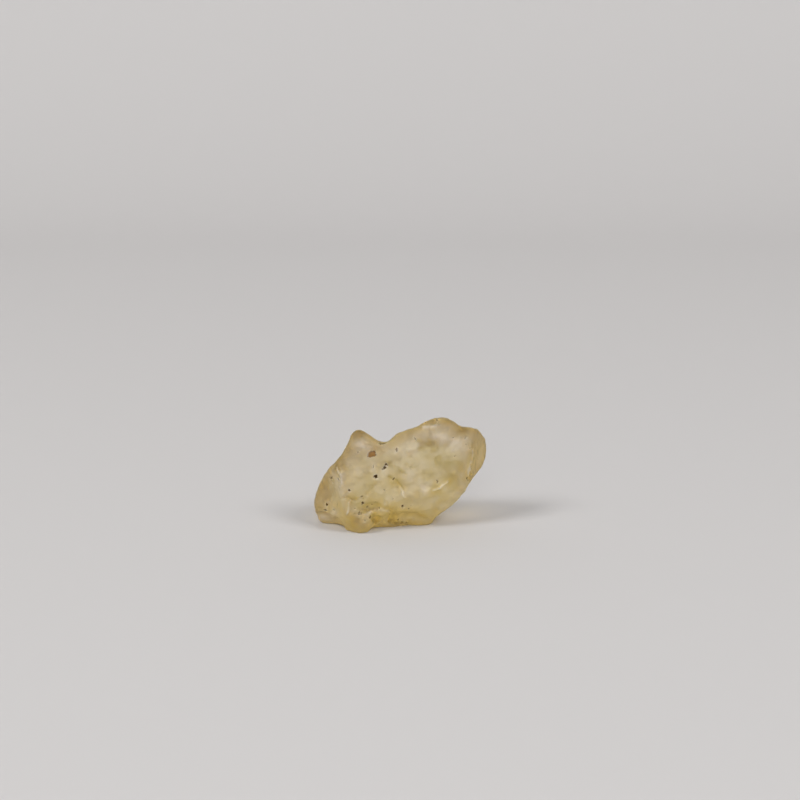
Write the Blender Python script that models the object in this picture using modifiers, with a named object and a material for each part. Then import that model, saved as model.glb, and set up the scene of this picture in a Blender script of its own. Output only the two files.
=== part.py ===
"""Libyan desert glass: one wind-worn nugget of natural silica glass that stands on a few worn spots.

Metres, +Z up. X runs along the nugget and its broad front looks along -Y. The nugget is chipped out of a
leaning slab of its own outline, scooped, worn smooth and rippled. Younger flakes and pits, with sharp
rims, are struck last. At the end its origin is put under the middle of its box, on the surface that it
stands on.
"""

import math

import bmesh
import bpy
from mathutils import Matrix, Vector, noise
from mathutils.bvhtree import BVHTree

MM = 0.001

# Driving dimensions.
LEAN = math.radians(15.0)  # the slab runs down towards the back by this much
SLAB_HALF_DEPTH = 14.0 * MM
SLAB_MIDDLE_Y = 5.5 * MM
REACH = 40.0 * MM  # how far outside the slab's face a blow starts
CUTTER_HEIGHT = 3.0  # half the height of a scoop's cutter, in depths of the scoop
VOXEL = 0.2 * MM  # the grid on which chips and scoops melt into one skin
FINE_VOXEL = 0.12 * MM  # the grid on which the younger flakes join that skin
WEAR_PASSES = 12  # rounds of smoothing, which wear the ridges
RIPPLE = (1.1 * MM, 0.10 * MM)  # size and height of the etched ripples
FACES = 8200  # triangles of the nugget before the pits are cut
PIT_DEPTH = 0.9  # depth of a pit, in radii

# How many rings a cutter's ball has, and how uneven its surface is, as a share of its radius.
SCOOP_BALL = (16, 0.0)
FLAKE_BALL = (6, 0.30)
PIT_BALL = (4, 0.35)

# Across and up along the slab's face are in mm. The outline runs clockwise from the notch beside the horn.
OUTLINE = (
    (-2.05, 11.55), (-0.10, 12.90), (1.85, 13.50), (3.65, 14.45), (5.25, 14.80), (6.50, 14.35),
    (7.70, 13.60), (9.35, 13.40), (10.55, 12.45), (11.00, 10.60), (10.35, 8.80), (8.85, 6.80),
    (7.60, 4.85), (6.00, 3.30), (4.45, 2.30), (3.75, 1.30), (2.70, 0.80), (-1.00, 0.92),
    (-3.20, 0.80), (-4.20, 0.35), (-5.30, -0.20), (-6.50, -0.10), (-7.60, 1.20), (-9.85, 1.30),
    (-10.65, 2.35), (-10.95, 4.00), (-10.35, 6.15), (-9.15, 8.15), (-7.65, 9.70), (-6.70, 11.40),
    (-5.90, 12.95), (-5.20, 13.25), (-4.00, 12.55),
)  # fmt: skip

# Flat chips: a point on each, (x, y, z) in mm, and the way it faces.
CHIPS = {
    "front": ((-3.0, 0.9, 6.0), (0.05, -1.0, 0.12)),
    "front_upper_right": ((5.0, 2.2, 10.5), (0.16, -1.0, 0.22)),
    "front_top": ((4.0, 3.4, 13.2), (0.05, -1.0, 0.95)),
    "front_left_end": ((-7.7, 1.0, 5.0), (-1.0, -1.0, 0.10)),
    "front_left_low": ((-8.6, 2.2, 1.8), (-0.9, -1.0, -0.75)),
    "front_right_end": ((8.9, 3.3, 8.0), (1.0, -0.70, -0.10)),
    "front_lower_right": ((4.0, 1.7, 4.6), (0.28, -1.0, -0.16)),
    "front_horn": ((-4.6, 2.6, 11.0), (-0.10, -1.0, 0.60)),
    "front_foot": ((0.0, 2.9, 0.0), (0.45, -1.0, -0.80)),
    "back": ((0.0, 10.6, 6.5), (0.0, 1.0, 0.05)),
    "back_left_end": ((-8.3, 8.3, 5.0), (-1.0, 0.9, 0.10)),
    "back_right_end": ((8.4, 8.6, 9.0), (0.9, 1.0, 0.10)),
    "back_top": ((3.0, 8.2, 11.8), (0.10, 1.0, 0.80)),
    "back_top_left": ((-5.0, 7.4, 9.4), (-0.35, 1.0, 0.95)),
    "back_low": ((1.0, 9.8, 2.2), (0.10, 1.0, -0.70)),
    "underside": ((1.0, 7.0, 0.0), (0.0, 0.0, -1.0)),
    "underside_right": ((7.0, 6.4, 2.6), (0.80, 0.10, -0.75)),
}

# Scoops: the side that each is struck from, its middle in mm (across and up the slab from the front and
# the back, x and y from above and below), half its length and width, its turn in degrees and its depth.
SCOOPS = (
    ("front", (3.4, 11.3), (1.5, 0.9), -10, 0.30),
    ("front", (6.0, 7.9), (2.1, 1.6), 20, 0.50),
    ("front", (3.2, 6.5), (0.8, 0.6), 20, 0.25),
    ("front", (1.0, 9.6), (2.0, 1.5), 0, 0.22),
    ("front", (-4.7, 11.0), (1.6, 1.2), -20, 0.30),
    ("front", (-3.4, 3.0), (3.2, 1.2), -6, 0.50),
    ("front", (-0.6, 2.0), (2.6, 0.7), -4, 0.30),
    ("front", (-0.4, 1.4), (4.2, 2.3), -4, 1.20),
    ("front", (0.4, 3.1), (4.6, 1.9), 3, 0.55),
    ("front", (-2.3, 2.5), (1.2, 0.8), 25, 0.40),
    ("front", (-9.0, 1.5), (2.6, 1.8), 0, 1.00),
    ("front", (-0.3, 6.0), (1.3, 0.4), -50, 0.22),
    ("front", (-0.1, 7.8), (1.2, 0.5), -35, 0.15),
    ("front", (2.6, 4.0), (2.4, 1.5), 25, 0.20),
    ("front", (-9.0, 5.2), (1.2, 2.2), 0, 0.25),
    ("front", (-8.4, 2.6), (1.3, 1.0), 0, 0.25),
    ("front", (9.8, 9.6), (0.8, 2.0), -15, 0.25),
    ("back", (-5.0, 6.0), (3.0, 2.2), 20, 0.60),
    ("back", (1.0, 9.0), (2.6, 1.8), -15, 0.50),
    ("back", (6.0, 9.6), (2.2, 2.4), 10, 0.55),
    ("back", (2.4, 4.6), (2.8, 1.7), 10, 0.55),
    ("back", (-1.6, 3.0), (1.8, 1.3), -30, 0.35),
    ("back", (-8.0, 3.0), (1.8, 1.4), 30, 0.35),
    ("back", (-2.2, 7.0), (1.2, 0.9), 0, 0.25),
    ("above", (8.5, 6.6), (1.4, 2.2), 20, 0.20),
    ("above", (2.4, 5.6), (2.0, 1.5), -20, 0.25),
    ("above", (-8.6, 5.4), (1.6, 1.5), 0, 0.30),
    ("below", (-1.2, 6.2), (3.2, 2.2), 10, 0.70),
    ("below", (-7.2, 7.2), (1.8, 1.6), -10, 0.50),
    ("below", (-2.6, 2.2), (1.5, 1.3), 0, 0.40),
    ("below", (3.0, 8.2), (2.0, 1.8), 0, 0.50),
)

# Flakes, given as the scoops are, that came off after the nugget was worn.
FLAKES = (
    ("front", (3.3, 5.9), (0.8, 0.5), 5, 0.16),
    ("front", (5.2, 6.3), (1.1, 0.4), 28, 0.14),
    ("front", (-0.45, 6.2), (1.05, 0.25), -43, 0.18),
    ("front", (-5.9, 4.3), (1.2, 0.22), 0, 0.16),
    ("front", (-3.4, 3.4), (1.1, 0.6), 0, 0.20),
    ("front", (-3.1, 1.9), (0.75, 0.55), 0, 0.28),
    ("front", (-1.1, 2.0), (0.6, 0.5), 20, 0.18),
    ("front", (6.2, 8.8), (1.6, 0.9), 10, 0.18),
    ("front", (7.7, 8.2), (0.6, 0.7), 0, 0.14),
    ("front", (3.4, 11.2), (1.1, 0.6), -8, 0.14),
    ("front", (-5.0, 11.3), (0.9, 0.6), -30, 0.12),
    ("front", (9.9, 9.9), (0.5, 1.6), -12, 0.16),
    ("back", (-4.0, 8.4), (1.3, 0.9), 20, 0.22),
    ("back", (3.8, 8.2), (1.0, 0.7), -30, 0.16),
    ("back", (-0.6, 5.4), (1.4, 0.8), 10, 0.20),
    ("back", (6.6, 11.0), (0.9, 0.6), 0, 0.16),
    ("back", (-6.4, 4.2), (1.0, 0.7), 40, 0.18),
)

# Weathering pits: the side and the middle, as for the scoops, and the radius in mm.
PITS = (
    ("front", (-2.2, 11.2), 0.26), ("front", (-1.85, 8.5), 0.28), ("front", (-3.1, 7.25), 0.32),
    ("front", (-8.7, 6.7), 0.28), ("front", (-7.9, 6.7), 0.25), ("front", (-6.6, 5.35), 0.22),
    ("front", (-9.4, 3.7), 0.30), ("front", (-9.6, 2.9), 0.24), ("front", (-4.8, 4.2), 0.30),
    ("front", (-3.9, 2.0), 0.28), ("front", (0.2, 3.4), 0.26), ("front", (1.2, 3.0), 0.22),
    ("front", (4.8, 6.5), 0.22), ("front", (8.75, 7.0), 0.28), ("back", (-6.4, 7.6), 0.28),
    ("back", (-3.2, 4.6), 0.24), ("back", (0.4, 6.4), 0.30), ("back", (3.4, 9.9), 0.26),
    ("back", (5.2, 7.0), 0.24), ("back", (7.2, 10.4), 0.28), ("back", (1.6, 11.2), 0.24),
    ("above", (4.6, 5.4), 0.24), ("above", (-4.6, 5.2), 0.26),
)  # fmt: skip


def clear_scene():
    for obj in list(bpy.data.objects):
        bpy.data.objects.remove(obj)


def new_collection(name):
    made = bpy.data.collections.new(name)
    bpy.context.scene.collection.children.link(made)
    return made


def mesh_of(obj):
    """The object's mesh in world space, with its modifiers applied."""
    bpy.context.view_layer.update()
    graph = bpy.context.evaluated_depsgraph_get()
    mesh = bpy.data.meshes.new_from_object(obj.evaluated_get(graph))
    mesh.transform(obj.matrix_world)
    return mesh


def leaning_slab():
    """The outline drawn out into a slab, as a closed bmesh."""
    curve = bpy.data.curves.new("outline", "CURVE")
    curve.dimensions = "2D"
    curve.fill_mode = "BOTH"
    curve.extrude = SLAB_HALF_DEPTH
    curve.resolution_u = 4
    spline = curve.splines.new("BEZIER")
    spline.bezier_points.add(len(OUTLINE) - 1)
    for knot, (across, up) in zip(spline.bezier_points, OUTLINE):
        knot.co = (across * MM, up * MM, 0.0)
        knot.handle_left_type = knot.handle_right_type = "AUTO"
    spline.use_cyclic_u = True
    guide = bpy.data.objects.new("outline", curve)
    bpy.context.scene.collection.objects.link(guide)
    guide.rotation_euler.x = math.pi / 2 - LEAN
    guide.location = (0.0, SLAB_MIDDLE_Y, -SLAB_MIDDLE_Y * math.tan(LEAN))
    slab = bmesh.new()
    slab.from_mesh(mesh_of(guide))
    bmesh.ops.remove_doubles(slab, verts=slab.verts, dist=0.001 * MM)
    bpy.data.objects.remove(guide)
    return slab


def chip(body, at, facing):
    """Strikes off all that lies beyond the plane through a point."""
    everything = body.verts[:] + body.edges[:] + body.faces[:]
    cut = bmesh.ops.bisect_plane(
        body, geom=everything, dist=1e-7, plane_co=Vector(at) * MM, plane_no=facing, clear_outer=True
    )
    rim = [item for item in cut["geom_cut"] if isinstance(item, bmesh.types.BMEdge)]
    bmesh.ops.edgenet_fill(body, edges=rim)


def struck_from(side, middle):
    """Where a blow starts and the way it goes, for a scoop struck from a side."""
    across, up = middle[0] * MM, middle[1] * MM
    if side in ("above", "below"):
        down = -1.0 if side == "above" else 1.0
        return Vector((across, up, -down * REACH)), Vector((0.0, 0.0, down))
    inwards = Vector((0.0, math.cos(LEAN), -math.sin(LEAN)))
    upwards = Vector((0.0, math.sin(LEAN), math.cos(LEAN)))
    if side == "back":
        inwards.negate()
    return Vector((across, 0.0, 0.0)) + upwards * up - inwards * REACH, inwards


def scoop_cutter(name, skin, ball, side, middle, halves, turn, depth):
    """An ellipsoid that leaves a hollow of the given size where its blow meets the skin."""
    place, outwards, _, _ = skin.ray_cast(*struck_from(side, middle))
    sideways = Vector((0.0, 1.0, 0.0)) if side in ("above", "below") else Vector((0.0, 0.0, 1.0))
    along = sideways.cross(outwards).normalized()
    frame = Matrix((along, outwards.cross(along), outwards)).transposed().to_4x4()
    height = CUTTER_HEIGHT * depth * MM
    spread = math.sqrt(1.0 - (1.0 - 1.0 / CUTTER_HEIGHT) ** 2)
    radii = (halves[0] * MM / spread, halves[1] * MM / spread, height)
    mesh = bpy.data.meshes.new(name)
    shape = bmesh.new()
    rings, uneven = ball
    bmesh.ops.create_uvsphere(shape, u_segments=2 * rings, v_segments=rings, radius=1.0)
    for vert in shape.verts:
        vert.co *= 1.0 + uneven * noise.noise(vert.co * 1.5 + place / MM)
    bmesh.ops.scale(shape, vec=radii, verts=shape.verts)
    shape.to_mesh(mesh)
    shape.free()
    cutter = bpy.data.objects.new(name, mesh)
    centre = Matrix.Translation(place + outwards * (height - depth * MM))
    cutter.matrix_world = centre @ frame @ Matrix.Rotation(math.radians(turn), 4, "Z")
    cutter.hide_render = True
    cutter.display_type = "WIRE"
    return cutter


def material(name, colour, roughness, transmission):
    made = bpy.data.materials.new(name)
    made.use_nodes = True
    shader = made.node_tree.nodes["Principled BSDF"]
    shader.inputs["Base Color"].default_value = (*colour, 1.0)
    shader.inputs["Roughness"].default_value = roughness
    shader.inputs["Metallic"].default_value = 0.0
    shader.inputs["IOR"].default_value = 1.46
    shader.inputs["Transmission Weight"].default_value = transmission
    return made


def modifier(obj, name, kind, **settings):
    made = obj.modifiers.new(name, kind)
    for key, value in settings.items():
        setattr(made, key, value)
    return made


def ripple_texture():
    clouds = bpy.data.textures.new("ripple", "CLOUDS")
    clouds.noise_scale = RIPPLE[0]
    clouds.noise_depth = 1
    return clouds


def chipped_slab():
    body = leaning_slab()
    for at, facing in CHIPS.values():
        chip(body, at, facing)
    bmesh.ops.recalc_face_normals(body, faces=body.faces)
    return body


def settled(mesh):
    """The mesh ground flat where it stands, and moved so that its origin is below the middle of its box."""
    body = bmesh.new()
    body.from_mesh(mesh)
    chip(body, (0, 0, 0), (0, 0, -1))
    bmesh.ops.recalc_face_normals(body, faces=body.faces)
    places = [vert.co for vert in body.verts]
    middle = [(min(row) + max(row)) / 2 for row in zip(*places)]
    bmesh.ops.translate(body, vec=(-middle[0], -middle[1], 0.0), verts=body.verts)
    body.to_mesh(mesh)
    body.free()
    return mesh


def struck(nugget, name, ball, scoops):
    """Cuts the scoops from the nugget where their blows meet it, and keeps the cutters in a collection."""
    cutters = new_collection(name)
    body = bmesh.new()
    body.from_mesh(nugget.data)
    skin = BVHTree.FromBMesh(body)
    body.free()
    for number, scoop in enumerate(scoops, 1):
        cutters.objects.link(scoop_cutter(f"{name}_{number:02d}", skin, ball, *scoop))
    cut = modifier(nugget, name, "BOOLEAN", operation="DIFFERENCE", operand_type="COLLECTION")
    cut.collection = cutters


def with_mesh_applied(nugget):
    made = mesh_of(nugget)
    nugget.modifiers.clear()
    nugget.data = made


def build():
    clear_scene()
    nuggets = new_collection("libyan_desert_glass")
    body = chipped_slab()
    mesh = bpy.data.meshes.new("desert_glass")
    body.to_mesh(mesh)
    body.free()
    nugget = bpy.data.objects.new("desert_glass", mesh)
    nuggets.objects.link(nugget)
    struck(nugget, "scoops", SCOOP_BALL, SCOOPS)
    modifier(nugget, "skin", "REMESH", mode="VOXEL", voxel_size=VOXEL)
    modifier(nugget, "wear", "SMOOTH", factor=0.5, iterations=WEAR_PASSES)
    modifier(nugget, "ripple", "DISPLACE", texture=ripple_texture(), strength=2 * RIPPLE[1], mid_level=0.5)
    with_mesh_applied(nugget)
    struck(nugget, "flakes", FLAKE_BALL, FLAKES)
    modifier(nugget, "fine_skin", "REMESH", mode="VOXEL", voxel_size=FINE_VOXEL)
    with_mesh_applied(nugget)
    modifier(nugget, "facets", "DECIMATE", ratio=FACES / (2 * len(nugget.data.polygons)))
    with_mesh_applied(nugget)
    pits = [(side, middle, (radius, radius), 0, PIT_DEPTH * radius) for side, middle, radius in PITS]
    struck(nugget, "pits", PIT_BALL, pits)
    with_mesh_applied(nugget)
    nugget.data = settled(nugget.data)
    nugget.data.materials.append(material("desert_glass", (0.62, 0.49, 0.20), 0.45, 0.9))
    nugget.data.shade_smooth()


build()
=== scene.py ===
"""Libyan desert glass: the finish, light and view of one frosted, pale yellow nugget of natural glass."""

import math
import random

import bmesh
import bpy
import numpy as np
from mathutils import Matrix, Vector, kdtree, noise


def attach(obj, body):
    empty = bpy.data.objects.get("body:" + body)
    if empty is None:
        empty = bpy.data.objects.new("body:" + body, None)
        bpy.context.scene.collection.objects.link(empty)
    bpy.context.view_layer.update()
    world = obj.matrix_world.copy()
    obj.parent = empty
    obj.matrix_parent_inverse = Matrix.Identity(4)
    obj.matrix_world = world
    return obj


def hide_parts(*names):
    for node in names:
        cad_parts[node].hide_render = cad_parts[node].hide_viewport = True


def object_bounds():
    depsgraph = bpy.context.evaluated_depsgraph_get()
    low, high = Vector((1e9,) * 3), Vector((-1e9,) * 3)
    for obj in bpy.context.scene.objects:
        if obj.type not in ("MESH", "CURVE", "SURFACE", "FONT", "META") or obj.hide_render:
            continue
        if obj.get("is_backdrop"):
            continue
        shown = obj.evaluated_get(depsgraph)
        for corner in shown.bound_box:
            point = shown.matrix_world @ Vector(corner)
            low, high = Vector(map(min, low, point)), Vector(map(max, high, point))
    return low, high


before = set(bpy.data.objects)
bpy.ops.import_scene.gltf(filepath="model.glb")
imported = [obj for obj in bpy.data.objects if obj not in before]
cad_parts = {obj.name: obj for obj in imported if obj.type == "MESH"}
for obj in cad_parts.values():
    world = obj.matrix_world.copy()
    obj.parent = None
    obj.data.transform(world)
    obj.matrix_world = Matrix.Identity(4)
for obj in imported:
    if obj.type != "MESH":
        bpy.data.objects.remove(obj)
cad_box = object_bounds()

MM = 0.001
NODE = "desert_glass"

# The camera, found from the nugget's place and size in the photograph.
FRAME_PX = 800
LENS_MM, SENSOR_MM = 100.0, 36.0
VIEW_ELEVATION = math.radians(15.0)  # how far the camera looks down on the nugget's middle
VIEW_DISTANCE = 284.0 * MM
VIEW_MIDDLE = Vector((0.0, 0.0, 6.32 * MM))  # the point whose sight line has that elevation
AXIS_ABOVE_MIDDLE = 9.6 * MM  # the lens's axis passes this far above that point
AXIS_RIGHT_OF_MIDDLE = -0.05 * MM

# The fine skin. Lengths on the skin are in mm from here on.
SKIN_VOXEL = 0.138 * MM
SKIN_SMOOTHING = 6
LINE_REACH = 2.2  # how far to each side of a line the skin is cut finer, in half widths
FINE_CUTS = 2  # how often the skin's edges are cut around a pit

# Marks on the front, at their pixels in the photograph's 800 by 800 frame; widths in pixels, heights in mm.
PX_PER_MM = LENS_MM / SENSOR_MM * FRAME_PX * MM / VIEW_DISTANCE
WOBBLE_MM, WOBBLE_PX = (0.6, 1.6), (1.0, 1.6)  # how crooked the marks are: sizes of the bends, and shifts

# Lines along which the skin rises, or sinks where the height is below zero: points, half width, height.
RIDGES = {
    "left_corner_high": (((337, 469), (339, 473), (341, 478), (342, 484)), 1.0, 0.16),
    "left_corner_low": (((342, 486), (342, 492), (344, 498), (347, 503)), 1.6, 0.05),
    "rough_streak": (((350, 501), (349, 506), (348, 510), (346, 515)), 1.0, 0.13),
    "right_corner": (((472, 449), (472, 457), (470, 465), (468, 473)), 0.9, 0.16),
    "right_corner_slot": (((471, 474), (469, 477), (468, 480)), 1.1, -0.30),
    "ledge": (((434, 490), (441, 487), (448, 483)), 1.0, 0.17),
    "crest_band": (((423, 428), (430, 426), (437, 425)), 1.4, 0.09),
    "groove": (((389, 477), (395, 480), (399, 484), (403, 490)), 1.4, -0.20),
    "groove_lip": (((401, 488), (403, 492), (404, 496)), 1.1, 0.13),
    "band": (((394, 467), (399, 470), (405, 475)), 1.6, -0.11),
    "bulge_foot": (((344, 498), (350, 499), (357, 499), (363, 498)), 1.2, -0.16),
    "bulge_side": (((368, 494), (374, 488), (380, 483)), 1.5, -0.10),
    "low_arc": (((364, 514), (372, 511), (381, 510), (389, 512)), 1.3, 0.12),
    "low_crease": (((354, 514), (360, 512), (365, 513)), 1.1, -0.10),
    "undercut_slot": (((396, 523), (402, 524), (408, 523)), 1.3, -0.26),
    "undercut_crack": (((390, 510), (391, 515), (390, 521)), 1.2, -0.22),
    "left_end_crease": (((314, 509), (318, 508), (323, 509)), 1.1, -0.10),
    "short_crack": (((407, 464), (407, 467), (412, 468), (418, 467)), 1.0, -0.08),
    "horn_foot": (((348, 452), (357, 447), (368, 446), (378, 450)), 2.4, -0.05),
}

# Chips with a sharp rim, or swellings where the depth is below zero: middle, half length and width,
# turn in degrees, depth.
CHIPS = {
    "upper_hollow_left": ((417, 440), (3, 2), -20, 0.06),
    "upper_hollow_foot": ((420, 449), (4, 2), 0, 0.06),
    "upper_hollow_right": ((434, 450), (4, 3), 20, 0.06),
    "upper_swell": ((441, 437), (9, 6), 20, -0.12),
    "right_swell": ((457, 447), (8, 7), 0, -0.10),
    "olive_hollow": ((449, 464), (13, 8), 10, 0.20),
    "olive_edge": ((438, 460), (4, 5), 0, 0.14),
    "olive_right": ((461, 468), (4, 5), 0, 0.16),
    "right_low_hollow": ((455, 480), (7, 8), 20, 0.15),
    "bright_step": ((426, 486), (6, 4), 5, 0.20),
    "bright_step_foot": ((427, 495), (9, 4), 5, -0.10),
    "ledge_hollow": ((441, 482), (9, 4), 28, 0.14),
    "centre_hollow": ((424, 475), (8, 6), 10, 0.12),
    "centre_swell": ((412, 474), (7, 6), 0, -0.08),
    "groove_foot": ((412, 488), (8, 5), 0, 0.08),
    "bulge": ((361, 478), (18, 15), 20, -0.14),
    "bulge_chip": ((377, 473), (8, 8), 0, 0.10),
    "horn_chip": ((360, 442), (8, 7), -30, 0.10),
    "rough_hollow": ((374, 506), (9, 5), 0, 0.20),
    "rough_hollow_left": ((357, 507), (6, 6), 0, 0.14),
    "rough_swell": ((388, 502), (8, 6), 20, -0.12),
    "undercut_hollow": ((376, 518), (6, 5), 0, 0.30),
    "undercut_hollow_right": ((394, 517), (5, 4), 0, 0.16),
    "amber_hollow": ((414, 517), (13, 5), -3, 0.16),
    "left_end_hollow": ((329, 490), (8, 13), 0, 0.12),
    "left_end_swell": ((328, 517), (12, 6), 15, -0.30),
    "rust_seat": ((372, 454), (6, 5), 0, 0.10),
    "low_right_hollow": ((440, 503), (10, 5), 35, 0.10),
}

# Patches of the front, partly the frost's own tone and partly painted highlights on swells and ledges and
# painted shade in hollows: middle, half sizes, how milky, or clear below zero, and how much deeper yellow.
TONE_AND_LIGHT_PATCHES = (
    ((441, 437), (8, 6), 0.35, 0.0), ((457, 446), (9, 7), 0.45, 0.0), ((408, 451), (13, 8), 0.35, 0.0),
    ((412, 474), (8, 6), 0.30, 0.0), ((361, 442), (9, 6), 0.40, 0.0), ((358, 485), (10, 8), 0.05, 0.0),
    ((426, 488), (5, 4), 0.90, 0.0), ((430, 427), (7, 2), 0.60, 0.0), ((373, 470), (4, 3), 0.40, 0.0),
    ((429, 445), (7, 6), -0.45, 0.0), ((418, 441), (4, 3), -0.60, 0.0), ((421, 448), (4, 3), -0.60, 0.0),
    ((435, 450), (3, 3), -0.50, 0.0), ((438, 460), (3.5, 5), -0.70, 0.0), ((461, 468), (4, 5), -0.70, 0.12),
    ((449, 466), (10, 5), -0.40, 0.0), ((453, 478), (6, 5), -0.50, 0.12), ((428, 475), (9, 5), -0.50, 0.0),
    ((398, 472), (6, 3), -0.40, 0.0), ((388, 466), (5, 4), -0.40, 0.0), ((340, 463), (6, 7), -0.50, 0.18),
    ((375, 518), (5, 4), -0.90, 0.40), ((393, 518), (5, 5), -0.70, 0.30), ((372, 506), (9, 4), -0.60, -0.1),
    ((414, 519), (14, 5), 0.30, 0.20), ((357, 522), (9, 7), -0.50, 0.20), ((463, 430), (5, 3), -0.50, 0.24),
    ((440, 422), (12, 3), -0.20, 0.15), ((331, 492), (7, 8), -0.30, 0.06), ((391, 509), (8, 4), -0.40, 0.0),
    ((409, 474), (20, 22), 0.0, -0.3), ((460, 496), (9, 14), 0.0, -0.9), ((338, 482), (7, 20), 0.10, -0.6),
    ((374, 506), (5, 3), -0.50, 0.1), ((360, 511), (3, 4), -0.50, 0.1), ((328, 517), (12, 7), 0.60, -0.3),
    ((426, 455), (7, 4), -0.40, 0.0), ((454, 486), (6, 5), -0.40, 0.0), ((370, 488), (8, 10), -0.20, 0.0),
    ((480, 453), (5, 12), 0.80, 0.1), ((358, 434), (9, 4), -0.50, 0.15), ((450, 505), (10, 8), 0.10, -0.6),
    ((366, 504), (9, 6), -0.15, -0.25),
)  # fmt: skip

# Pits: middle, radius in pixels, depth in mm, and how much dirt fills them.
PITS = (
    ((358, 452), 1.1, 0.12, 0.7), ((382.5, 443.5), 1.8, 0.25, 1.0), ((397, 450), 1.1, 0.12, 0.8),
    ((386, 465), 1.4, 0.20, 1.0), ((385, 468), 1.3, 0.20, 0.9), ((376, 476), 1.7, 0.28, 1.0),
    ((373, 466), 0.9, 0.10, 0.6), ((394, 479), 1.0, 0.12, 0.7), ((331, 479), 1.2, 0.15, 0.6),
    ((333, 482), 1.0, 0.12, 0.6), ((339, 480), 1.3, 0.18, 0.8), ((349, 491), 1.1, 0.15, 0.9),
    ((327, 504), 1.6, 0.20, 1.0), ((331, 502), 1.0, 0.12, 0.8), ((325, 510), 1.2, 0.15, 0.8),
    ((334, 510), 1.0, 0.10, 0.5), ((362, 497), 1.3, 0.20, 0.7), ((363, 503), 1.4, 0.20, 0.9),
    ((361, 513), 1.3, 0.15, 0.6), ((370, 517), 1.5, 0.25, 1.0), ((402, 506), 1.3, 0.20, 1.0),
    ((409, 508), 0.9, 0.10, 0.6), ((411, 505), 0.8, 0.10, 0.5), ((410, 512), 0.9, 0.10, 0.6),
    ((438, 482), 1.1, 0.15, 0.7), ((437, 420), 1.2, 0.12, 0.7), ((425, 423), 0.9, 0.10, 0.6),
    ((467.5, 478.5), 1.4, 0.20, 1.0), ((385, 490), 1.1, 0.15, 0.3), ((393, 499), 0.9, 0.12, 0.5),
    ((454, 438), 0.9, 0.10, 0.4), ((454, 450), 0.8, 0.08, 0.4), ((455, 456), 0.8, 0.08, 0.4),
    ((466, 438), 1.0, 0.10, 0.4), ((466, 444), 0.8, 0.08, 0.3), ((371, 505), 1.0, 0.12, 0.6),
    ((376, 503), 0.9, 0.10, 0.5), ((402, 523), 1.3, 0.18, 0.9), ((407, 523), 1.0, 0.15, 0.8),
    ((415, 439), 0.9, 0.10, 0.7), ((470, 448), 0.8, 0.08, 0.3), ((359, 513), 1.1, 0.14, 0.7),
    ((367, 507), 0.9, 0.12, 0.6), ((379, 508), 0.9, 0.12, 0.6), ((384, 503), 0.8, 0.10, 0.5),
    ((390, 514), 0.9, 0.20, 0.8), ((398, 520), 0.9, 0.14, 0.6), ((355, 509), 0.8, 0.10, 0.5),
    ((365, 521), 0.9, 0.12, 0.5), ((383, 520), 0.8, 0.12, 0.6), ((378, 441), 0.8, 0.10, 0.5),
)  # fmt: skip
RUST_GRAIN = ((371.8, 454), (3.9, 2.9), 0.10)  # the brown grain high on the bulge: middle, half sizes, depth

# The glass: tints of the frosted skin, with painted shade and highlights among them, and what is caught in
# the pits.
CLEAR_TINT = (0.77, 0.695, 0.515, 1.0)
# pale frost, also used for painted highlights
MILK_AND_HIGHLIGHT_TINT = (0.845, 0.775, 0.675, 1.0)
# deep yellow of the narrow sides, partly the glass's own colour and partly painted shade
AMBER_AND_SHADE_TINT = (0.75, 0.58, 0.20, 1.0)
# a dark painted shade laid along the front's rim, where the skin turns away
RIM_SHADE_TINT = (0.20, 0.15, 0.045, 1.0)
RUST = (0.24, 0.115, 0.022, 1.0)
DIRT = (0.11, 0.06, 0.014, 1.0)
SLAB_AXIS = (0.0, -0.966, 0.259)  # the way the nugget's broad front faces
FLANK_TURN = 0.45  # a narrow side is where the normal has less than this share of the slab's axis
FLANK_AMBER_AND_SHADE, MID_FLANK_AMBER_AND_SHADE = 0.70, 0.25  # how deep a yellow the narrow sides are, partly the glass's own colour and partly painted shade, and how much more so along their middle
RIM_TURN = (0.62, 0.36)  # the shares of the slab's axis at which the front's painted dark rim shade starts, and is full
RIM_SHADE_STRENGTH, RIM_REACH = 0.55, 0.5  # how dark the painted rim shade is, and how far it reaches round the corner, in mm
AMBER_AND_SHADE_REACH = 1.0  # how far the narrow sides' deep yellow, partly painted shade, reaches into the broad ones, in mm
WORN_AND_PAINTED_LIGHT = 0.7  # how much milkier an arris is, partly wear and partly a painted highlight, and how much clearer a groove, as painted shade
FULL_HEIGHT = 0.15  # the height in mm from which an arris is fully milky, worn and painted bright
PIT_RIM_HIGHLIGHT = 0.6  # how much milkier a pit's rim is, a painted highlight
INDEX = 1.46
CLEAR_LETS, MILK_LETS, RIM_SHADE_LETS = 0.92, 0.60, 0.20  # the share of light that goes through each; the rim's low share darkens its painted shade
FROSTED, DULL = 0.48, 0.9  # the roughness of the glass, and of dirt
BODY_COLOUR, BODY_DENSITY = (0.97, 0.90, 0.46, 1.0), 180.0  # what the inside absorbs, per metre

# Relief all over the skin, in mm.
SWELL = 0.05  # what the smoothing takes off the skin
FLOOR_GAP = 0.01  # how far the skin stays above the floor
RIPPLES = ((1.6, 3, 1, 0.045), (0.4, 2, 3, 0.012))  # size, octaves, seed, height
DIMPLE_SIZE, DIMPLE_HEIGHT, DIMPLE_MEAN = 0.9, 0.05, 0.4
DIMPLE_LIFT = 0.4  # how far off the skin the dimples are read
FACETS = ((1.1, 7, 0.06, 0.10), (0.5, 8, 0.02, 0.06))  # size, seed, height, and how much tone each has
FACET_WARP = 0.35  # how crooked the edges of the small facets are
FACET_EDGE = 0.12  # how wide those edges are, as shares of a facet
MILK_CLOUDS = ((2.2, 2, 41, 0.22), (0.7, 3, 44, 0.10))  # size, octaves, seed, amount
ROUGH_MIDDLE, ROUGH_HALVES, ROUGH_HEIGHT = (372, 509), (26, 11), 0.12  # the rough ground, low on the front

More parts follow.
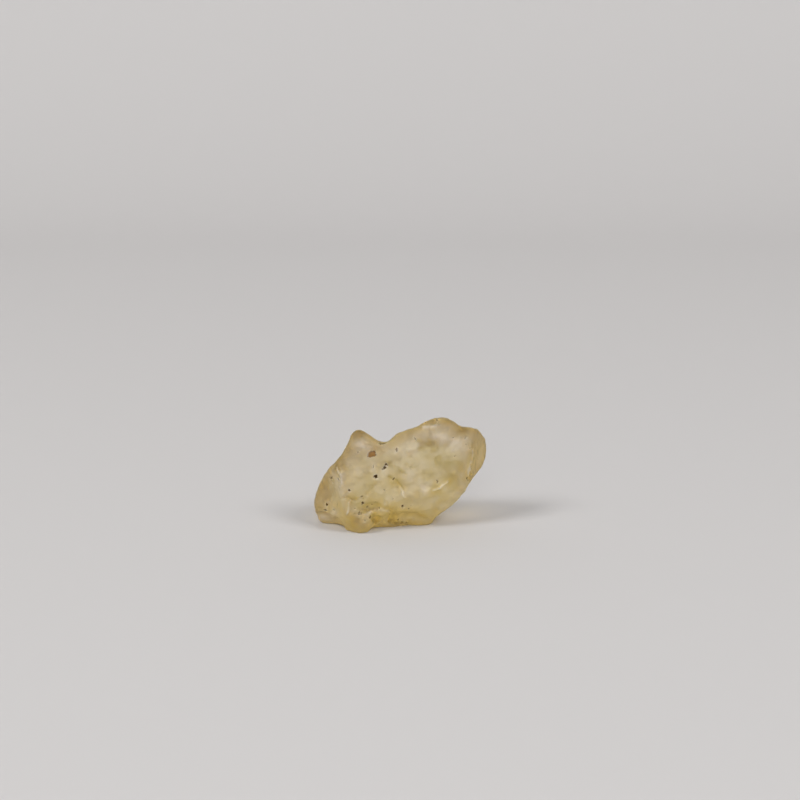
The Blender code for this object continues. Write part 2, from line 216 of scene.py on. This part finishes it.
# What is drawn at random: chips on every side, and pits on the hidden ones.
NOISE_SEED = 1  # an unseeded noise vector would start from the clock, and bend the facets anew each run
NEAR_SKIN = 0.6  # how near the skin a drawn place counts, in mm
CHIP_RADIUS, CHIP_SPREAD = 0.75, 0.45  # the middle one, in mm, and how much they differ
CHIP_DEPTH, CHIP_STRETCH = (0.05, 0.12), (0.7, 1.4)  # the depth is in radii
FRONT_SMALLER, FRONT_SHALLOWER = 0.4, 0.6  # what the front's chips lose of their radius and depth
PIT_RADIUS, PIT_SPREAD, PIT_LARGEST = 0.09, 0.35, 0.22
PIT_DEPTH, PIT_DIRT, PIT_STRETCH = (0.8, 1.5), (0.2, 1.0), (1.1, 2.3)  # the depth is in radii
PIT_RAGGED = 0.60  # how uneven the pits' outlines are
FRONT_EDGE, FRONT_BLEND = 0.05, 0.25  # the facing at which the front marks start, and what they fade over
HIDDEN = -0.05  # the facing below which a vertex is hidden from the camera

# The stage: a pale floor that bends up behind.
FLOOR_HALF = 900.0 * MM
BEND_START = 230.0 * MM  # behind the nugget
BEND_RADIUS = 200.0 * MM
BEND_STEPS = 24
WALL_HEIGHT = 900.0 * MM
PAPER_COLOUR, PAPER_ROUGHNESS = (0.62, 0.605, 0.60), 0.9

# The light: square lamps and an even sky.
SOFTBOX_SIDE = 400.0 * MM
SOFTBOX_DISTANCE = 1200.0 * MM
SOFTBOXES = {  # azimuth and elevation in degrees, watts
    "softbox_left": (-52, 42, 6.4),
    "softbox_right": (52, 42, 4.9),
    "softbox_front": (0, 25, 3.5),
}
SKY_COLOUR, SKY_STRENGTH = (1.0, 0.99, 0.98, 1.0), 0.26


def link(obj):
    bpy.context.scene.collection.objects.link(obj)
    return obj


def add_camera():
    data = bpy.data.cameras.new("camera")
    data.lens = LENS_MM
    data.sensor_width = SENSOR_MM
    data.clip_start = 1.0 * MM
    camera = link(bpy.data.objects.new("camera", data))
    sight = Vector((0.0, math.cos(VIEW_ELEVATION), -math.sin(VIEW_ELEVATION)))
    camera.location = VIEW_MIDDLE - sight * VIEW_DISTANCE
    pitch = VIEW_ELEVATION - math.atan(AXIS_ABOVE_MIDDLE / VIEW_DISTANCE)
    yaw = math.atan(-AXIS_RIGHT_OF_MIDDLE / VIEW_DISTANCE)
    camera.rotation_euler = (math.pi / 2 - pitch, 0.0, yaw)
    bpy.context.scene.camera = camera
    bpy.context.view_layer.update()
    return camera


def modifier(obj, name, kind, **settings):
    made = obj.modifiers.new(name, kind)
    for key, value in settings.items():
        setattr(made, key, value)
    return made


def applied(obj):
    """Gives the object its evaluated mesh in place of its modifiers."""
    bpy.context.view_layer.update()
    graph = bpy.context.evaluated_depsgraph_get()
    mesh = bpy.data.meshes.new_from_object(obj.evaluated_get(graph))
    obj.modifiers.clear()
    obj.data = mesh
    return obj


def cut_finer(body, near):
    """Halves the skin's edges between the vertices whose numbers are given."""
    edges = [edge for edge in body.edges if edge.verts[0].index in near and edge.verts[1].index in near]
    bmesh.ops.subdivide_edges(body, edges=edges, cuts=1, use_grid_fill=True)
    body.verts.index_update()


def fine_nugget():
    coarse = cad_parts[NODE]
    nugget = link(bpy.data.objects.new("glass_nugget", coarse.data.copy()))
    nugget.matrix_world = coarse.matrix_world
    modifier(nugget, "skin", "REMESH", mode="VOXEL", voxel_size=SKIN_VOXEL)
    modifier(nugget, "smooth", "SMOOTH", factor=0.5, iterations=SKIN_SMOOTHING)
    applied(nugget)
    return nugget


class Skin:
    """The nugget's vertices as arrays in mm, with their normals, and where the camera sees each one."""

    def __init__(self, nugget):
        self.mesh = nugget.data
        count = len(self.mesh.vertices)
        points, normals = np.empty(count * 3), np.empty(count * 3)
        self.mesh.vertices.foreach_get("co", points)
        self.mesh.vertices.foreach_get("normal", normals)
        self.points = points.reshape(-1, 3) / MM
        self.normals = normals.reshape(-1, 3)
        self.push = np.zeros(count)
        eye = np.array(camera.matrix_world.translation) / MM
        ray = eye - self.points
        self.facing = (ray * self.normals).sum(axis=1) / np.linalg.norm(ray, axis=1)
        to_camera = np.array(camera.matrix_world.inverted())
        seen = (self.points * MM) @ to_camera[:3, :3].T + to_camera[:3, 3]
        per_depth = LENS_MM / SENSOR_MM * FRAME_PX / -seen[:, 2]
        half = FRAME_PX / 2
        self.px = np.stack([half + seen[:, 0] * per_depth, half - seen[:, 1] * per_depth], axis=1)
        self.front = np.clip((self.facing - FRONT_EDGE) / FRONT_BLEND, 0.0, 1.0)

    def settle(self):
        """Moves each vertex along its normal by the push gathered so far."""
        moved = self.points + self.normals * self.push[:, None]
        moved[:, 2] = np.maximum(moved[:, 2], FLOOR_GAP)
        self.mesh.vertices.foreach_set("co", (moved * MM).reshape(-1))
        self.mesh.update()


def distance_to_line(places, line):
    nearest = np.full(len(places), 1e9)
    for start, end in zip(line, line[1:]):
        start, end = np.array(start, float), np.array(end, float)
        along = end - start
        share = np.clip((places - start) @ along / (along @ along), 0.0, 1.0)
        nearest = np.minimum(nearest, np.linalg.norm(places - start - share[:, None] * along, axis=1))
    return nearest


def fractal(points, size, octaves, seed):
    """Smooth noise of the given size in mm, about -1 to 1."""
    shift = Vector((seed * 17.3, seed * 5.1, seed * 9.7))
    return np.array([noise.fractal(Vector(p) / size + shift, 1.0, 2.0, octaves) for p in points])


def dimples(points, size, seed):
    """Shallow cups with low ridges between them, 0 in a cup's middle to about 1 on a ridge."""
    shift = Vector((seed * 3.3, seed * 8.9, seed * 4.1))
    return np.array([noise.voronoi(Vector(p) / size + shift)[0][0] for p in points])


def facets(points, size, seed):
    """The height of each point on its small tilted facet, and that facet's tone, both about -1 to 1."""
    shift = Vector((seed * 2.7, seed * 7.9, seed * 6.1))
    heights, tones = np.empty(len(points)), np.empty(len(points))
    for number, point in enumerate(points):
        place = Vector(point) / size + shift
        place += FACET_WARP * noise.noise_vector(1.5 * place)
        away, sites = noise.voronoi(place)
        tilts = [2 * (noise.cell_vector(3.7 * site) - Vector((0.5, 0.5, 0.5))) for site in sites[:2]]
        rises = [tilt.dot(place - site) for tilt, site in zip(tilts, sites)]
        share = 0.5 * max(1.0 - (away[1] - away[0]) / FACET_EDGE, 0.0)
        heights[number] = (1.0 - share) * rises[0] + share * rises[1]
        steps = [noise.cell(5.3 * site) for site in sites[:2]]
        tones[number] = (1.0 - share) * steps[0] + share * steps[1]
    return heights, tones


def elliptic(skin, middle, halves, turn=0.0, power=2.0):
    """How far each vertex lies from an ellipse's middle, 1 on it. A higher power makes it squarish."""
    turned = math.radians(turn)
    away = skin.px - np.array(middle, float)
    along = away[:, 0] * math.cos(turned) - away[:, 1] * math.sin(turned)
    across = away[:, 0] * math.sin(turned) + away[:, 1] * math.cos(turned)
    return (np.abs(along / halves[0]) ** power + np.abs(across / halves[1]) ** power) ** (1.0 / power)


def wobbled(skin):
    """The vertices' pixels, shifted so that straight marks come out crooked."""
    places = skin.px
    for size, reach in zip(WOBBLE_MM, WOBBLE_PX):
        bend = np.stack([fractal(skin.points, size, 3, seed) for seed in (21, 22)], axis=1)
        places = places + reach * bend
    return places


def finer_lines(nugget):
    """Cuts the skin's edges along the narrow lines of the front, so that they are crisp."""
    skin = Skin(nugget)
    off = np.min([distance_to_line(skin.px, line) / width for line, width, _ in RIDGES.values()], axis=0)
    body = bmesh.new()
    body.from_mesh(nugget.data)
    cut_finer(body, set(np.where((off < LINE_REACH) & (skin.facing > 0.0))[0].tolist()))
    bmesh.ops.triangulate(body, faces=[face for face in body.faces if len(face.verts) > 4])
    body.to_mesh(nugget.data)
    body.free()


def carve_front(skin):
    """Raises and cuts the front's lines and chips."""
    swell = 1.0 + 0.6 * fractal(skin.points, 1.3, 2, 23)
    straight = skin.px
    skin.px = wobbled(skin)
    for line, width, height in RIDGES.values():
        off = distance_to_line(skin.px, line) / width
        skin.push += skin.front * height * swell * np.exp(-np.abs(off) ** 1.6)
    for middle, halves, turn, depth in CHIPS.values():
        off = elliptic(skin, middle, halves, turn)
        skin.push -= skin.front * depth * np.clip(1.0 - off**2, 0.0, 1.0)
    skin.px = straight


def tree_of(points):
    """A tree for finding which of the points lie nearest to a place, by their numbers."""
    tree = kdtree.KDTree(len(points))
    for number, point in enumerate(points):
        tree.insert(point, number)
    tree.balance()
    return tree


def drawn_vertices(skin, count, seed):
    """Vertices drawn evenly over the skin by place, each with its own source of random numbers."""
    tree = tree_of(skin.points)
    low, high = skin.points.min(axis=0), skin.points.max(axis=0)
    for number in range(count):
        draw = random.Random(1000 * seed + number)
        place = [draw.uniform(*ends) for ends in zip(low, high)]
        _, vertex, away = tree.find(place)
        if away < NEAR_SKIN:
            yield vertex, draw


def chip_all_over(skin, count, seed):
    """Shallow chips of many sizes, on every side, each a shallow cup with a sharp rim."""
    warp = 1.0 + 0.30 * fractal(skin.points, 0.8, 2, 31)
    for at, draw in drawn_vertices(skin, count, seed):
        radius = CHIP_RADIUS * math.exp(draw.gauss(0.0, CHIP_SPREAD))
        depth = radius * draw.uniform(*CHIP_DEPTH) * (1.0 - FRONT_SHALLOWER * skin.front[at])
        radius *= 1.0 - FRONT_SMALLER * skin.front[at]
        stretch = np.array([draw.uniform(*CHIP_STRETCH) for _ in range(3)])
        off = np.linalg.norm((skin.points - skin.points[at]) * stretch, axis=1) / radius * warp
        skin.push -= depth * np.clip(1.0 - off**2, 0.0, 1.0)


def weather(skin):
    """Ripples, dimples and small facets all over, and the rough ground low on the front."""
    skin.push += SWELL
    for size, octaves, seed, height in RIPPLES:
        skin.push += height * fractal(skin.points, size, octaves, seed)
    lifted = skin.points + DIMPLE_LIFT * skin.normals
    skin.push += DIMPLE_HEIGHT * (dimples(lifted, DIMPLE_SIZE, 2) - DIMPLE_MEAN)
    for size, seed, height, _ in FACETS:
        skin.push += height * facets(skin.points, size, seed)[0]
    away = (skin.px - np.array(ROUGH_MIDDLE)) / np.array(ROUGH_HALVES)
    rough = skin.front * np.exp(-(away**2).sum(axis=1))
    skin.push += rough * ROUGH_HEIGHT * fractal(skin.points, 0.5, 3, 4)


def drawn_stretch(draw):
    """The way in which a pit is drawn out, and by how much of itself."""
    way = np.array([draw.gauss(0.0, 1.0) for _ in range(3)])
    return way * (1.0 - 1.0 / draw.uniform(*PIT_STRETCH)) / np.linalg.norm(way)


def front_pits(skin, seed):
    """Each named pit's middle in mm on the skin, its radius and depth in mm, its dirt and its stretch."""
    draw = random.Random(seed)
    visible = np.where(skin.facing > 0.1)[0]
    found = []
    for middle, radius, depth, dirt in PITS:
        off = np.linalg.norm(skin.px[visible] - np.array(middle, float), axis=1)
        at = visible[off.argmin()]
        found.append((skin.points[at], radius / PX_PER_MM, depth, dirt, drawn_stretch(draw)))
    return found


def scattered_pits(skin, count, seed):
    """Pits of many sizes on the sides that the front marks don't reach."""
    found = []
    for at, draw in drawn_vertices(skin, count, seed):
        radius = min(PIT_RADIUS * math.exp(draw.gauss(0.0, PIT_SPREAD)), PIT_LARGEST)
        depth = radius * draw.uniform(*PIT_DEPTH)
        if skin.facing[at] < HIDDEN:
            found.append((skin.points[at], radius, depth, draw.uniform(*PIT_DIRT), drawn_stretch(draw)))
    return found


def refine(nugget, pits):
    """Cuts the skin's edges near the pits, so that they are crisp."""
    body = bmesh.new()
    body.from_mesh(nugget.data)
    for times in range(FINE_CUTS):
        tree = tree_of([vert.co for vert in body.verts])
        near = set()
        for place, radius, _, _, _ in pits:
            reach = (radius * 1.5 + 0.12 / (1 + times)) * MM
            near.update(index for _, index, _ in tree.find_range(Vector(place) * MM, reach))
        cut_finer(body, near)
    bmesh.ops.triangulate(body, faces=[face for face in body.faces if len(face.verts) > 4])
    body.to_mesh(nugget.data)
    body.free()


def dig_pits(nugget, pits):
    """Sinks the pits into the skin, marks how dirty and rusty each vertex is, and paints a highlight round
    each pit's rim.
    """
    skin = Skin(nugget)
    dirt = np.zeros(len(skin.points))
    milk_and_painted_light = read_layer(nugget, "milk_and_painted_light")
    ragged = 1.0 + PIT_RAGGED * fractal(skin.points, 0.16, 2, 6)
    for place, radius, depth, fill, way in pits:
        away = skin.points - place
        away -= (away @ way)[:, None] * way / max(np.linalg.norm(way), 1e-6)
        off = np.linalg.norm(away, axis=1) / radius * ragged
        inside = off < 2.0
        skin.push[inside] -= depth * np.exp(-(off[inside] ** 4) * 0.9)
        skin.push[inside] += 0.15 * depth * np.exp(-(((off[inside] - 1.3) / 0.25) ** 2))
        dirt[inside] = np.maximum(dirt[inside], fill * np.clip((1.10 - off[inside]) / 0.45, 0.0, 1.0))
        # a painted highlight ringing the pit's rim
        milk_and_painted_light[inside] += PIT_RIM_HIGHLIGHT * fill * np.exp(-(((off[inside] - 1.35) / 0.35) ** 2))
    middle, halves, depth = RUST_GRAIN
    off = elliptic(skin, middle, halves, 12, power=4.0) * (1.0 + 0.4 * (ragged - 1.0))
    off *= 1.0 + 0.25 * fractal(skin.points, 0.35, 2, 47)
    rust = skin.front * np.clip((1.05 - off) / 0.2, 0.0, 1.0)
    dirt = np.maximum(dirt, rust * np.clip(0.2 + 0.9 * fractal(skin.points, 0.3, 2, 48), 0.0, 0.7))
    dirt = np.maximum(dirt, 0.65 * skin.front * np.exp(-(((off - 0.88) / 0.15) ** 2)))
    skin.push -= depth * rust
    skin.settle()
    write_layers(nugget, {"dirt": dirt, "rust": rust, "milk_and_painted_light": np.clip(milk_and_painted_light, 0.0, 1.0)})


def read_layer(nugget, name):
    values = np.empty(len(nugget.data.vertices))
    nugget.data.attributes[name].data.foreach_get("value", values)
    return values


def distance_to(skin, chosen):
    """How far each vertex lies from the nearest chosen one, in mm."""
    tree = tree_of(skin.points[chosen])
    return np.array([tree.find(point)[2] for point in skin.points])


def shade_marks(skin):
    """How deep a yellow each vertex is, most on the narrow sides, partly the glass's own colour and partly
    painted shade; how milky, partly frost and partly painted highlights and shade; and how dark the painted
    rim shade is.
    """
    ahead = skin.normals @ np.array(SLAB_AXIS)
    across = np.abs(ahead)
    inward = distance_to(skin, across < FLANK_TURN)
    reach = AMBER_AND_SHADE_REACH * (1.0 + 0.5 * fractal(skin.points, 1.5, 2, 42))
    # The narrow sides and undersides turn deeper yellow: partly the glass's own colour, partly painted shade
    # where less light falls and the glass is seen edge-on.
    amber_and_shade = FLANK_AMBER_AND_SHADE * np.exp(-((inward / reach) ** 2))
    amber_and_shade += MID_FLANK_AMBER_AND_SHADE * np.clip(1.0 - across / FLANK_TURN, 0.0, 1.0)
    # The rim: a painted dark shade along the front's edge, where the skin turns from the slab's axis, on all
    # but the underside.
    rim = RIM_SHADE_STRENGTH * np.clip((RIM_TURN[0] - ahead) / (RIM_TURN[0] - RIM_TURN[1]), 0.0, 1.0)
    rim *= np.exp(-((distance_to(skin, ahead > RIM_TURN[0]) / RIM_REACH) ** 2))
    rim *= np.clip((skin.normals[:, 2] + 0.35) / 0.3, 0.0, 1.0)
    milk_and_painted_light = np.full(len(skin.points), 0.5)
    for size, octaves, seed, amount in MILK_CLOUDS:
        milk_and_painted_light += amount * fractal(skin.points, size, octaves, seed)
    for size, seed, _, tone in FACETS:
        milk_and_painted_light += tone * facets(skin.points, size, seed)[1]
    straight = skin.px
    skin.px = wobbled(skin)
    # Patches: partly the frost's own tone, partly painted highlights on swells, ledges and crests and painted
    # shade in hollows and undercuts.
    for middle, halves, milky, golden in TONE_AND_LIGHT_PATCHES:
        share = skin.front * np.exp(-(elliptic(skin, middle, halves, power=3.0) ** 3))
        milk_and_painted_light += milky * share
        amber_and_shade += golden * share
    broken = np.clip(0.7 + 0.9 * fractal(skin.points, 0.5, 2, 43), 0.0, 1.4)
    # Arrises: partly worn frost, partly painted highlights; grooves: painted shade, clearer and darker.
    for line, width, height in RIDGES.values():
        off = distance_to_line(skin.px, line) / width
        share = skin.front * WORN_AND_PAINTED_LIGHT * min(abs(height) / FULL_HEIGHT, 1.0) * broken * np.exp(-(off**2))
        milk_and_painted_light += share if height > 0 else -0.5 * share
        amber_and_shade -= share if height > 0 else 0.0
    skin.px = straight
    return {"amber_and_shade": np.clip(amber_and_shade, 0.0, 1.0), "milk_and_painted_light": np.clip(milk_and_painted_light, 0.0, 1.0), "rim": rim}


def write_layers(nugget, layers):
    for name, values in layers.items():
        layer = nugget.data.attributes.get(name) or nugget.data.attributes.new(name, "FLOAT", "POINT")
        layer.data.foreach_set("value", values)


def glass_material():
    """Frosted see-through glass, whose tint, clearness and roughness follow the mesh's layers; some layers
    paint shade and highlights into the tint.
    """
    made = bpy.data.materials.new("desert_glass_frosted")
    made.use_nodes = True
    tree = made.node_tree
    shader = tree.nodes["Principled BSDF"]
    shader.inputs["IOR"].default_value = INDEX

    def attribute(name):
        node = tree.nodes.new("ShaderNodeAttribute")
        node.attribute_name = name
        return node.outputs["Fac"]

    def mix(kind, share, first, second):
        node = tree.nodes.new("ShaderNodeMix")
        node.data_type = kind
        sockets = {"RGBA": (6, 7, 2), "FLOAT": (2, 3, 0)}[kind]
        tree.links.new(share, node.inputs[0])
        for socket, value in zip(sockets, (first, second)):
            if isinstance(value, bpy.types.NodeSocket):
                tree.links.new(value, node.inputs[socket])
            else:
                node.inputs[socket].default_value = value
        return node.outputs[sockets[2]]

    dirt, rust, amber_and_shade, milk_and_painted_light, rim = (attribute(name) for name in ("dirt", "rust", "amber_and_shade", "milk_and_painted_light", "rim"))
    # pale frost with painted highlights, and clear glass with painted shade
    colour = mix("RGBA", milk_and_painted_light, CLEAR_TINT, MILK_AND_HIGHLIGHT_TINT)
    # deep yellow, partly the glass's own and partly painted shade on the narrow sides and in hollows
    colour = mix("RGBA", amber_and_shade, colour, AMBER_AND_SHADE_TINT)
    # painted dark shade along the front's rim
    colour = mix("RGBA", rim, colour, RIM_SHADE_TINT)
    colour = mix("RGBA", rust, colour, RUST)
    colour = mix("RGBA", dirt, colour, DIRT)
    clear = mix("FLOAT", milk_and_painted_light, CLEAR_LETS, MILK_LETS)
    clear = mix("FLOAT", rim, clear, RIM_SHADE_LETS)
    clear = mix("FLOAT", rust, clear, 0.0)
    clear = mix("FLOAT", dirt, clear, 0.0)
    rough = mix("FLOAT", dirt, FROSTED, DULL)
    tree.links.new(colour, shader.inputs["Base Color"])
    tree.links.new(clear, shader.inputs["Transmission Weight"])
    tree.links.new(rough, shader.inputs["Roughness"])
    absorb = tree.nodes.new("ShaderNodeVolumeAbsorption")
    absorb.inputs["Color"].default_value = BODY_COLOUR
    absorb.inputs["Density"].default_value = BODY_DENSITY
    tree.links.new(absorb.outputs["Volume"], tree.nodes["Material Output"].inputs["Volume"])
    return made


def plain_material(name, colour, roughness):
    made = bpy.data.materials.new(name)
    made.use_nodes = True
    shader = made.node_tree.nodes["Principled BSDF"]
    shader.inputs["Base Color"].default_value = (*colour, 1.0)
    shader.inputs["Roughness"].default_value = roughness
    return made


def add_stage():
    profile = [(-FLOOR_HALF, 0.0), (BEND_START, 0.0)]
    for step in range(1, BEND_STEPS + 1):
        turn = math.pi / 2 * step / BEND_STEPS
        profile.append((BEND_START + BEND_RADIUS * math.sin(turn), BEND_RADIUS * (1 - math.cos(turn))))
    profile.append((BEND_START + BEND_RADIUS, WALL_HEIGHT))
    body = bmesh.new()
    rows = [[body.verts.new((x, y, z)) for y, z in profile] for x in (-FLOOR_HALF, FLOOR_HALF)]
    for i in range(len(profile) - 1):
        body.faces.new((rows[0][i], rows[1][i], rows[1][i + 1], rows[0][i + 1]))
    mesh = bpy.data.meshes.new("sweep")
    body.to_mesh(mesh)
    body.free()
    mesh.shade_smooth()
    sweep = link(bpy.data.objects.new("sweep", mesh))
    mesh.materials.append(plain_material("pale_paper", PAPER_COLOUR, PAPER_ROUGHNESS))
    sweep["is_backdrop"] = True


def add_softbox(name, azimuth, elevation, watts):
    """A square lamp that faces the nugget. Azimuth 0 is in front, and it grows to the right."""
    data = bpy.data.lights.new(name, "AREA")
    data.shape = "SQUARE"
    data.size = SOFTBOX_SIDE
    data.energy = watts
    turn, rise = math.radians(azimuth), math.radians(elevation)
    way = Vector((math.sin(turn) * math.cos(rise), -math.cos(turn) * math.cos(rise), math.sin(rise)))
    lamp = link(bpy.data.objects.new(name, data))
    lamp.location = way * SOFTBOX_DISTANCE
    lamp.rotation_euler = way.to_track_quat("Z", "Y").to_euler()
    return lamp


def add_light():
    world = bpy.data.worlds.new("tent")
    bpy.context.scene.world = world
    world.use_nodes = True
    sky = world.node_tree.nodes["Background"]
    sky.inputs["Color"].default_value = SKY_COLOUR
    sky.inputs["Strength"].default_value = SKY_STRENGTH
    for name, (azimuth, elevation, watts) in SOFTBOXES.items():
        add_softbox(name, azimuth, elevation, watts)


def write_sizes():
    boxes = {"cad": cad_box, "visual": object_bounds()}
    plain = {name: [[float(v) for v in corner] for corner in box] for name, box in boxes.items()}


noise.seed_set(NOISE_SEED)
camera = add_camera()
add_stage()
add_light()
nugget = fine_nugget()
finer_lines(nugget)
skin = Skin(nugget)
carve_front(skin)
chip_all_over(skin, count=500, seed=5)
weather(skin)
skin.settle()
write_layers(nugget, shade_marks(Skin(nugget)))
pits = front_pits(skin, seed=3) + scattered_pits(skin, count=560, seed=11)
refine(nugget, pits)
dig_pits(nugget, pits)
nugget.data.shade_smooth()
nugget.data.materials.clear()
nugget.data.materials.append(glass_material())
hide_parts(NODE)
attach(nugget, "root")
bpy.context.scene.view_settings.view_transform = "Standard"
write_sizes()
